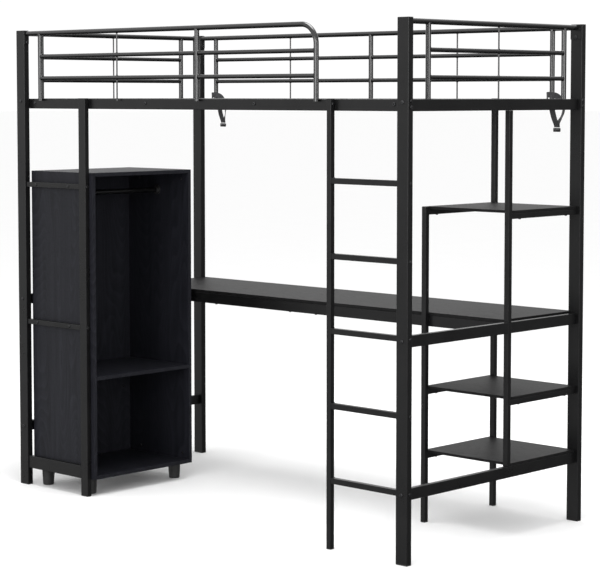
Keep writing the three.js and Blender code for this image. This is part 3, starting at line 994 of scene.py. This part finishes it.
@dataclass
class Guards:
    """The four guardrails of round tube, with their rods, welds and post brackets."""

    coats: Finishes
    top: float = 1.8375
    levels: Sequence[float] = (1.743, 1.650)
    front_levels: Sequence[float] = (1.745, 1.6575)
    front_uprights: Sequence[float] = (-0.909, 0.005, 0.609)
    front_rods: Sequence[float] = (-0.443,)
    rear_rods: Sequence[float] = (-0.455, 0.447)
    radius: float = 0.0095
    mid_radius: float = 0.008
    rod_radius: float = 0.003
    plane: float = 0.4865
    foot: float = 1.568
    end_foot: float = 1.5763
    bend: float = 0.070
    inner_x: float = 0.9935
    inner_y: float = 0.4765
    post_x: float = 1.0185
    slack: float = 0.0003
    bite: float = 0.98
    side_bite: float = 0.96
    plate: float = 0.0028
    plate_half: float = 0.011
    end_plate_half: float = 0.021
    plate_corner: float = 0.004
    plate_drop: float = 0.034
    plate_y: float = 0.489
    plate_bolt: float = 1.8027
    brackets: list[Place] = field(default_factory=list)

    def build(self) -> None:
        """Builds the guardrails."""
        self._front(Railing(
            "front", lambda along, z: Vector((along, -self.plane, z)),
            self.front_uprights, self.front_rods, self.foot, self.front_levels,
        ))
        self._straight(Railing(
            "rear", lambda along, z: Vector((along, self.plane, z)),
            REAR_UPRIGHTS, self.rear_rods, self.foot, self.levels,
        ), self.inner_x)
        ends = (("left", LEFT, (-0.392, 0.382), -0.005), ("right", RIGHT, (-0.370, 0.400), 0.015))
        for name, side, uprights, rod in ends:
            across = lambda along, z, x=side * self.post_x: Vector((x, along, z))
            end = Railing(name, across, uprights, (rod,), self.end_foot, self.levels)
            self._straight(end, self.inner_y)
        self._brackets()

    @staticmethod
    def _tube(start: Vector, end: Vector, radius: float) -> Workpiece:
        """A straight run of tube."""
        tube = BentTube("run", start, (end - start).normalized(), radius)
        return tube.straight(end - start).close()

    def _grid(self, rail: Railing, frame_piece: Workpiece, tops: Sequence[float]) -> None:
        """The tubes between a guardrail's top tube and its foot.

        Args:
            rail: the guardrail.
            frame_piece: the tube that the rest is joined to.
            tops: the uprights that run up to the top tube.
        """
        parts, beads, thin_beads = [], [], []
        at, up = rail.at, Axis.Z.way()
        along = (at(1, 0) - at(0, 0)).normalized()
        under_top = self.top - self.radius * self.bite
        offset = along * self.radius * self.side_bite
        stops = sorted(rail.uprights)
        for level in rail.levels:
            for start, end in zip(stops, stops[1:]):
                parts.append(self._tube(at(start, level), at(end, level), self.mid_radius))
                for spot, sign in ((start, 1), (end, -1)):
                    beads.append(Place(at(spot, level) + offset * sign, along))
        for x in tops:
            parts.append(self._tube(at(x, rail.foot), at(x, self.top), self.radius))
            beads.append(Place(at(x, under_top), up))
        for x in rail.rods:
            parts.append(self._tube(at(x, rail.foot), at(x, self.top), self.rod_radius))
            thin_beads.append(Place(at(x, under_top), up))
            for level in rail.levels:
                ends = (level + sign * self.mid_radius * self.bite for sign in (-1, 1))
                thin_beads += [Place(at(x, z), up) for z in ends]
        frame_piece.join(parts).finish(self.coats.round, [f"guard_{rail.name}"], edges=False)
        name = f"guard_{rail.name}_welds"
        welds = stamp(name, bead_pattern(self.mid_radius), beads)
        thin = stamp("thin", bead_pattern(self.rod_radius, 0.0014), thin_beads)
        welds.join([thin])
        welds.finish(self.coats.round, edges=False)

    def _straight(self, rail: Railing, inner: float) -> None:
        """A guardrail whose top tube runs from post to post, this far either way."""
        reach = inner - self.slack
        top = self._tube(rail.at(-reach, self.top), rail.at(reach, self.top), self.radius)
        top.obj.name = f"guard_{rail.name}_tubes"
        self._grid(rail, top, rail.uprights)
        for sign in (-1, 1):
            facing = (rail.at(0, 0) - rail.at(sign, 0)).normalized()
            self.brackets.append(Place(rail.at(sign * reach, self.top), facing))

    def _front(self, rail: Railing) -> None:
        """The front guardrail, whose top tube bends down beside the ladder."""
        start, turn = -self.inner_x + self.slack, rail.uprights[-1]
        top = BentTube("guard_front_tubes", rail.at(start, self.top), Axis.X.way(), self.radius)
        top.straight(Vector((turn - self.bend - start, 0, 0)))
        centre = rail.at(turn - self.bend, self.top - self.bend)
        top.bend(centre, Axis.Y.way(-1), math.pi / 2, 16)
        top.straight(Vector((0, 0, rail.foot - self.top + self.bend)))
        self._grid(rail, top.close(), rail.uprights[:-1])
        self.brackets.append(Place(rail.at(start, self.top), Axis.X.way()))

    def _brackets(self) -> None:
        """The plates that hang from the top tubes' ends and bolt to the posts."""
        plates, bolts = [], []
        for index, place in enumerate(self.brackets):
            facing, point = place.facing, Vector(place.point)
            on_end = abs(facing.y) > ALONG
            half = self.end_plate_half if on_end else self.plate_half
            side = Vector((abs(facing.y), abs(facing.x), 0)) * half
            if not on_end:
                point.y = math.copysign(self.plate_y, point.y)
            edges = (point - side, point + side + facing * self.plate)
            low, high = (Vector([pick(a, b) for a, b in zip(*edges)]) for pick in (min, max))
            low.z = self.top - self.radius - self.plate_drop
            high.z = self.top - self.radius * 0.4
            plate = Workpiece.block(f"plate_{index}", low, high)
            plate.bevel(lambda middle, way, f=facing: abs(way.dot(f)) > ALONG, self.plate_corner, 3)
            plates.append(plate.bevel_all(0.0005, 1))
            bolts.append(Place(Vector((*point.xy, self.plate_bolt)) + facing * self.plate, facing))
        plates[0].join(plates[1:])
        plates[0].obj.name = "guard_brackets"
        plates[0].finish(self.coats.steel)
        stamp("guard_bolts", bolt_pattern(), bolts).finish(self.coats.bolt, edges=False)


@dataclass
class Ladder:
    """One stile, its rungs and the bolts that hold them to the post."""

    coats: Finishes
    rungs: int = 5
    tube: float = 0.020
    rail_bolt_level: float = 1.559

    def build(self) -> None:
        """Builds the ladder."""
        upright("ladder_stile", "ladder_stile", SMALL_STOCK, self.coats)
        welds, bolts = [], []
        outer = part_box("post_front_right")[1].x
        for number in range(1, self.rungs + 1):
            node = f"ladder_rung_{number}"
            SMALL_STOCK.skin(node, self.coats.steel)
            low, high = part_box(node)
            middle = (low + high) / 2
            welds.append(Place((low.x, middle.y, middle.z), Axis.X.way()))
            bolts.append(Place((outer, middle.y, middle.z), Axis.X.way()))
        collar = collar_pattern(self.tube, self.tube)
        stamp("ladder_welds", collar, welds).finish(self.coats.steel, edges=False)
        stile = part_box("ladder_stile")[1]
        spot = (stile.x, stile.y - self.tube / 2, self.rail_bolt_level)
        bolts.append(Place(spot, Axis.X.way()))
        stamp("ladder_bolts", small_bolt_pattern(), bolts).finish(self.coats.bolt, edges=False)


@dataclass
class Wardrobe:
    """The steel front of the wardrobe and its open cabinet."""

    coats: Finishes
    grain: dict[str, Axis] = field(default_factory=lambda: {
        "wardrobe_side_front": Axis.Z, "wardrobe_side_rear": Axis.Z, "wardrobe_back": Axis.Z,
        "wardrobe_bottom": Axis.X, "wardrobe_top": Axis.X, "wardrobe_shelf": Axis.X,
    })
    ease: float = 0.0008
    screws: Sequence[Point] = (
        (-0.902, 0.037, 1.2455), (-0.647, 0.037, 1.2455),
        (-0.905, 0.037, 0.105), (-0.647, 0.037, 0.105),
    )
    back_screw: Point = (-0.973, 0.0008, 0.3513)
    bar_bolts: Sequence[float] = (-0.931, -0.7305)
    cup_rim: float = 0.009
    foot_taper: float = 0.85

    def build(self) -> None:
        """Builds the wardrobe."""
        upright("wardrobe_post", "wardrobe_post", SMALL_STOCK, self.coats)
        for level in ("upper", "lower", "bottom"):
            SMALL_STOCK.skin(f"wardrobe_bar_{level}", self.coats.steel)
        for node, axis in self.grain.items():
            board(node, self.ease, self.coats.case[axis])
        self._rod()
        self._feet()
        self._fittings()

    def _rod(self) -> None:
        """The hanging rod and the cups that hold its ends."""
        low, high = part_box("hanging_rod")
        middle, radius = (low + high) / 2, (high.z - low.z) / 2
        ends = [Vector((middle.x, y, middle.z)) for y in (low.y, high.y)]
        tube = BentTube("hanging_rod_tube", ends[0], Axis.Y.way(), radius, 32)
        rod = tube.straight(ends[1] - ends[0]).close()
        rod.finish(self.coats.rod, ["hanging_rod"], edges=False)
        cup = Workpiece.bar("cup", (0, 0, -0.0001), (0, 0, 0.003), radius + self.cup_rim, 32)
        cup.inset(lambda where, normal: normal.z > ALONG, 0.0055)
        cup.extrude(
            lambda where, normal: normal.z > ALONG and where.xy.length < 0.001, (0, 0, 0.010)
        )
        cup.bevel(lambda where, way: where.z > 0.002 and abs(way.z) < 0.1, 0.0009)
        places = [Place(end, Axis.Y.way(sign)) for end, sign in zip(ends, (1, -1))]
        stamp("rod_cups", cup, places).finish(self.coats.plastic, edges=False)

    def _feet(self) -> None:
        """Four tapered round feet under the cabinet."""
        for node in ("foot_front_left", "foot_front_right", "foot_rear_left", "foot_rear_right"):
            low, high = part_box(node)
            middle, top = (low + high) / 2, high.z
            base, crown = (middle.x, middle.y, 0), (middle.x, middle.y, top)
            foot = Workpiece.bar(f"{node}_turned", base, crown, (high.x - low.x) / 2, 40)
            taper = (self.foot_taper, self.foot_taper, 1.0)
            foot.scale_faces(lambda where, normal: normal.z < -ALONG, taper)
            foot.bevel(lambda where, way: where.z < HAIR, 0.0035, 4)
            foot.bevel(lambda where, way: abs(where.z - top) < HAIR, 0.0015)
            foot.finish(self.coats.plastic, [node], edges=False)

    def _fittings(self) -> None:
        """Screw heads inside the cabinet and the bolts through the front bars."""
        spots = [Place(spot, Axis.Y.way(-1)) for spot in self.screws]
        spots.append(Place(self.back_screw, Axis.X.way()))
        screw = screw_pattern(0.0055, 0.002)
        stamp("cabinet_screws", screw, spots).finish(self.coats.bolt, edges=False)
        bolts = []
        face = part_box("wardrobe_bar_upper")[0].y
        post_low, post_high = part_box("wardrobe_post")
        for node in ("wardrobe_bar_upper", "wardrobe_bar_lower"):
            low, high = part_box(node)
            level = (low.z + high.z) / 2
            bolts += [Place((x, face, level), Axis.Y.way(-1)) for x in self.bar_bolts]
            bolts.append(Place((post_high.x, (post_low.y + post_high.y) / 2, level), Axis.X.way()))
        stamp("wardrobe_bolts", small_bolt_pattern(), bolts).finish(self.coats.bolt, edges=False)


@dataclass
class Desk:
    """The desk board, the rails under it and its screws."""

    coats: Finishes
    ease: float = 0.0011
    screws: Sequence[float] = (-0.503, -0.081, 0.060, 0.483)

    def build(self) -> None:
        """Builds the desk."""
        board("desk_board", self.ease, self.coats.desk)
        spots = []
        for node in ("desk_rail_front", "desk_rail_rear"):
            RAIL_STOCK.skin(node, self.coats.steel)
            low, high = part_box(node)
            spots += [Place((x, (low.y + high.y) / 2, low.z), Axis.Z.way(-1)) for x in self.screws]
        stamp("desk_screws", board_screw_pattern(), spots).finish(self.coats.bolt, edges=False)


@dataclass
class ShelfTower:
    """Uprights, shelf boards and the rails that carry them."""

    coats: Finishes
    levels: Sequence[str] = ("upper", "middle", "lower")
    ease: float = 0.0009
    screw_inset: float = 0.055

    def build(self) -> None:
        """Builds the tower."""
        upright("tower_post_front", "tower_front", SMALL_STOCK, self.coats)
        SMALL_STOCK.skin("tower_post_end", self.coats.steel)
        upright("tower_post_rear_lower", "tower_rear", SMALL_STOCK, self.coats, capped=False)
        SMALL_STOCK.skin("tower_post_rear_upper", self.coats.steel)
        spots = []
        for level in self.levels:
            board(f"shelf_board_{level}", self.ease, self.coats.desk)
            sides = ("left", "right") if level != "lower" else ("left",)
            for side in sides:
                rail = f"shelf_rail_{level}_{side}"
                SMALL_STOCK.skin(rail, self.coats.steel)
                low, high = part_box(rail)
                for y in (low.y + self.screw_inset, high.y - self.screw_inset):
                    spots.append(Place(((low.x + high.x) / 2, y, low.z), Axis.Z.way(-1)))
        stamp("shelf_screws", board_screw_pattern(), spots).finish(self.coats.bolt, edges=False)


@dataclass
class WallStrap:
    """A webbing strap looped round a rear upright, with its buckle below."""

    coats: Finishes
    side: str
    upright: float
    lean: float
    rail: float = 0.4765
    width: float = 0.022
    thick: float = 0.0016
    steps: int = 108
    buckle_top: float = 1.468

    def _stations(self) -> list[tuple[Vector, Vector]]:
        """The strap's route: points, and the way its face looks at each."""
        x, r, end = self.upright, self.rail, self.buckle_top + 0.002
        low = x + self.lean
        half = self.lean / 2
        rows = [
            (low + 0.021, r + 0.021, end, 0, -1, 0),
            (low + 0.021, r + 0.021, 1.477, 0, -1, 0),
            (low + 0.007, r + 0.0225, 1.510, 0.25, -1, 0),
            (low - 0.002, r + 0.023, 1.540, 0.3, -1, 0),
            (x - 0.012 + half, r + 0.023, 1.560, 0, -1, 0),
            (x - 0.023, r + 0.0195, 1.574, -0.4, -0.9, 0),
            (x - 0.023, r + 0.008, 1.5855, -0.8, -0.6, 0),
            (x - 0.013, r - 0.003, 1.5905, -0.4, -0.9, 0),
            (x, r - 0.005, 1.5915, 0, -1, 0),
            (x + 0.014, r - 0.003, 1.5905, 0.4, -0.9, 0),
            (x + 0.026, r + 0.007, 1.5855, 0.8, -0.6, 0),
            (x + 0.034, r + 0.017, 1.571, 0.95, -0.3, 0),
            (x + 0.039, r + 0.024, 1.552, 0.85, 0.5, 0),
            (x + 0.042, r + 0.026, 1.534, 0.5, 0.86, 0),
            (x + 0.036 + half, r + 0.026, 1.508, 0.65, 0.75, 0),
            (low + 0.028, r + 0.0255, 1.489, 0.5, 0.86, 0),
            (low + 0.023, r + 0.025, 1.477, 0, 1, 0),
            (low + 0.023, r + 0.025, end, 0, 1, 0),
        ]
        return [(Vector(row[:3]), Vector(row[3:])) for row in rows]

    @staticmethod
    def _curve(points: Sequence[Vector], t: float) -> Vector:
        """A point on the centripetal curve through a list of points, t running from 0 to 1."""
        last = len(points) - 1
        index = min(int(last * t), last - 1)
        weight = last * t - index
        p1, p2 = points[index], points[index + 1]
        p0 = points[index - 1] if index > 0 else 2 * points[0] - points[1]
        p3 = points[index + 2] if index + 2 <= last else 2 * points[last] - points[last - 1]
        gaps = [math.sqrt((b - a).length) for a, b in ((p0, p1), (p1, p2), (p2, p3))]
        d1 = gaps[1] if gaps[1] > STEP else 1.0
        d0 = gaps[0] if gaps[0] > STEP else d1
        d2 = gaps[2] if gaps[2] > STEP else d1
        t1 = ((p1 - p0) / d0 - (p2 - p0) / (d0 + d1) + (p2 - p1) / d1) * d1
        t2 = ((p2 - p1) / d1 - (p3 - p1) / (d1 + d2) + (p3 - p2) / d2) * d1
        square, cube = 3 * (p2 - p1) - 2 * t1 - t2, 2 * (p1 - p2) + t1 + t2
        return p1 + t1 * weight + square * weight * weight + cube * weight ** 3

    def _section(self) -> list[tuple[float, float]]:
        """The strap's cross-section: flat faces, with rounded and slightly thicker selvedges."""
        w, h = self.width / 2, self.thick / 2
        selvedge = [(w, 0.0), (w - h * 0.5, h * 0.85), (w - h * 2.2, h), (w - h * 3.4, h * 0.72)]
        top = [(-u, v) for u, v in selvedge] + [(0.0, h * 0.78)] + selvedge[::-1]
        return top + [(u, -v) for u, v in reversed(top[1:-1])]

    def build(self) -> None:
        stations = self._stations()
        route = [point for point, _ in stations]
        faces = [facing for _, facing in stations]
        section = self._section()
        centres, vertices = [], []
        for i in range(self.steps + 1):
            t = i / self.steps
            centre = self._curve(route, t)
            before, after = (self._curve(route, min(1, max(0, t + d))) for d in (-STEP, STEP))
            along = (after - before).normalized()
            across = along.cross(self._curve(faces, t)).normalized()
            face = along.cross(across).normalized()
            centres.append(centre)
            vertices += [centre + across * u + face * v for u, v in section]
        strap = self._skin(vertices, len(section), centres)
        buckle = self._buckle()
        length = sum((b - a).length for a, b in zip(centres, centres[1:]))

    def _skin(self, vertices: Sequence[Vector], ring: int,
              centres: Sequence[Vector]) -> bpy.types.Object:
        """Makes the strap's closed skin, with flat coordinates for its weave.

        Args:
            vertices: the rings' vertices in order.
            ring: how many vertices a ring has.
            centres: the rings' centres.

        Returns:
            The finished strap.
        """
        last = len(vertices) - ring
        quads = [
            (start + k, start + (k + 1) % ring, start + ring + (k + 1) % ring, start + ring + k)
            for start in range(0, last, ring) for k in range(ring)
        ]
        caps = [tuple(reversed(range(ring))), tuple(range(last, last + ring))]
        mesh = bpy.data.meshes.new(f"strap_{self.side}_webbing")
        mesh.from_pydata([tuple(v) for v in vertices], [], quads + caps)
        run, total = [0.0], 0.0
        for a, b in zip(centres, centres[1:]):
            total += (b - a).length
            run.append(total)
        section = self._section()
        flat = mesh.uv_layers.new(name="strip")
        for loop in mesh.loops:
            station, k = divmod(loop.vertex_index, ring)
            flat.data[loop.index].uv = (section[k][0] / self.width + 0.5, run[station])
        obj = bpy.data.objects.new(mesh.name, mesh)
        bpy.context.scene.collection.objects.link(obj)
        piece = Workpiece(obj, mesh.name)
        with piece.edit():
            bpy.ops.mesh.select_all(action="SELECT")
            bpy.ops.mesh.normals_make_consistent(inside=False)
        return piece.finish(self.coats.webbing, [f"strap_{self.side}"], edges=False)

    def _buckle(self) -> list[bpy.types.Object]:
        """The cam buckle: a frame with a sunk face, a lever and a bright pin."""
        low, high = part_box(f"buckle_{self.side}")
        middle = (low + high) / 2
        body = Workpiece.block(f"buckle_{self.side}_frame", low, high)
        body.bevel(lambda where, way: abs(way.y) > ALONG, 0.003, 4)
        body.inset(lambda where, normal: abs(normal.y) > ALONG, 0.0024, -0.0012)
        body.bevel(lambda where, way: abs(abs(where.y - middle.y) - 0.0045) < HAIR, 0.0006, 2)
        frame_obj = body.finish(self.coats.plastic, [f"buckle_{self.side}"], edges=False)
        lever = Workpiece.block(
            f"buckle_{self.side}_lever", (middle.x - 0.009, low.y - 0.0015, low.z + 0.003),
            (middle.x + 0.009, low.y + 0.002, middle.z + 0.002),
        )
        lever.extrude(lambda where, normal: normal.z < -ALONG, (0, -0.0015, -0.002))
        lever.bevel_all(0.0008, 2)
        lever_obj = lever.finish(self.coats.plastic, edges=False)
        pin = Workpiece.bar(
            f"buckle_{self.side}_pin", (low.x - 0.001, middle.y - 0.002, middle.z + 0.0035),
            (high.x + 0.001, middle.y - 0.002, middle.z + 0.0035), 0.0018, 20,
        )
        pin.bevel_all(0.0004, 1)
        pin_obj = pin.finish(self.coats.pin, edges=False)
        return [frame_obj, lever_obj, pin_obj]


# --------------------------------------------------------------------------- studio


@dataclass(frozen=True)
class Lamp:
    """A square soft light: its place, the point it faces, its side and its power in watts."""

    name: str
    where: Point
    aim: Point
    size: float
    power: float

    def hang(self) -> None:
        """Adds the light to the scene."""
        data = bpy.data.lights.new(self.name, "AREA")
        data.shape, data.size, data.energy = "SQUARE", self.size, self.power
        light = bpy.data.objects.new(self.name, data)
        light.location = self.where
        towards = Vector(self.aim) - Vector(self.where)
        light.rotation_euler = towards.to_track_quat("-Z", "Y").to_euler()
        bpy.context.scene.collection.objects.link(light)


@dataclass
class Studio:
    """The camera, the floor and the lights."""

    lens: float = 117.80
    eye: Point = (5.3014, -5.4759, 1.5894)
    tilt: float = 4.041
    turn: float = 43.714
    shift_up: float = -0.095
    sensor: float = 36.0
    clip_end: float = 200.0
    floor_size: float = 400.0
    lamps: Sequence[Lamp] = (
        Lamp("overhead", (0.4, -0.2, 4.6), (0, 0, 1.2), 2.4, 150),
        Lamp("front", (1.6, -7.4, 2.2), (0, 0, 0.9), 3.0, 170),
        Lamp("side", (7.0, -1.2, 2.2), (0, 0, 0.9), 2.2, 90),
        Lamp("corner", (4.9, -5.6, 3.4), (0.4, 0, 1.0), 0.9, 40),
    )
    dim_corner: Point = (0.69, 0.72, 0.0)
    dimming: float = 0.72
    brightness: float = 1.04

    def camera(self) -> None:
        """Sets the camera up."""
        data = bpy.data.cameras.new("camera")
        data.sensor_fit, data.sensor_width = "HORIZONTAL", self.sensor
        data.lens, data.shift_y = self.lens, self.shift_up
        data.clip_end = self.clip_end
        camera = bpy.data.objects.new("camera", data)
        camera.location = self.eye
        camera.rotation_euler = (math.radians(90 - self.tilt), 0.0, math.radians(self.turn))
        bpy.context.scene.collection.objects.link(camera)
        bpy.context.scene.camera = camera

    def dress(self) -> None:
        """Lays the floor and lights the room."""
        clear_bench()
        bpy.ops.mesh.primitive_plane_add(size=self.floor_size)
        floor = bpy.context.object
        floor.name = "floor"
        bench = ShaderBench("pale_floor")
        paper = bench.noise(bench.place(), 3.0, 3.0)
        tone = bench.blend(paper, (0.965, 0.965, 0.965), (0.985, 0.985, 0.985))
        coat = {"Base Color": tone, "Roughness": 0.9, "Specular IOR Level": 0.1}
        floor.data.materials.append(bench.surface(coat))
        floor.visible_glossy = False
        self._room()
        bpy.context.scene.view_settings.view_transform = "Standard"
        for lamp in self.lamps:
            lamp.hang()

    def _room(self) -> None:
        """Paints the room: white above, one dim corner, and dark below the floor."""
        bench = ShaderBench("studio", bpy.data.worlds)
        where = bench.node("ShaderNodeTexCoord", output="Generated")
        up = bench.node("ShaderNodeSeparateXYZ", None, {"Vector": where}, "Z")
        stops = [(0.0, 0.04), (0.25, 0.04), (0.40, 0.55), (0.488, 0.66), (0.496, 1.0)]
        height = bench.node("ShaderNodeValToRGB", {"stops": stops}, {"Fac": up * 0.5 + 0.5})
        settings, values = {"operation": "DOT_PRODUCT"}, {0: where, 1: self.dim_corner}
        corner = bench.node("ShaderNodeVectorMath", settings, values, "Value").span(0.62, 0.95)
        glow = {"Color": height * (1 - corner * self.dimming), "Strength": self.brightness}
        light = bench.node("ShaderNodeBackground", None, glow)
        bench.node("ShaderNodeOutputWorld", None, {"Surface": light})
        bpy.context.scene.world = bench.holder


def main() -> None:
    """Builds the bed in order and reports each piece."""
    logging.basicConfig(level=logging.INFO, format="%(message)s")
    studio = Studio()
    studio.camera()
    coats = Finishes()
    WallStrap(coats, "left", REAR_UPRIGHTS[0], STRAP_LEAN).build()
    WallStrap(coats, "right", REAR_UPRIGHTS[-1], -STRAP_LEAN).build()
    for assembly in (BedFrame, SlatBase, Guards, Ladder, Wardrobe, Desk, ShelfTower):
        LOG.info("-- %s", assembly.__name__)
        assembly(coats).build()
    studio.dress()


if __name__ == "__main__":
    main()
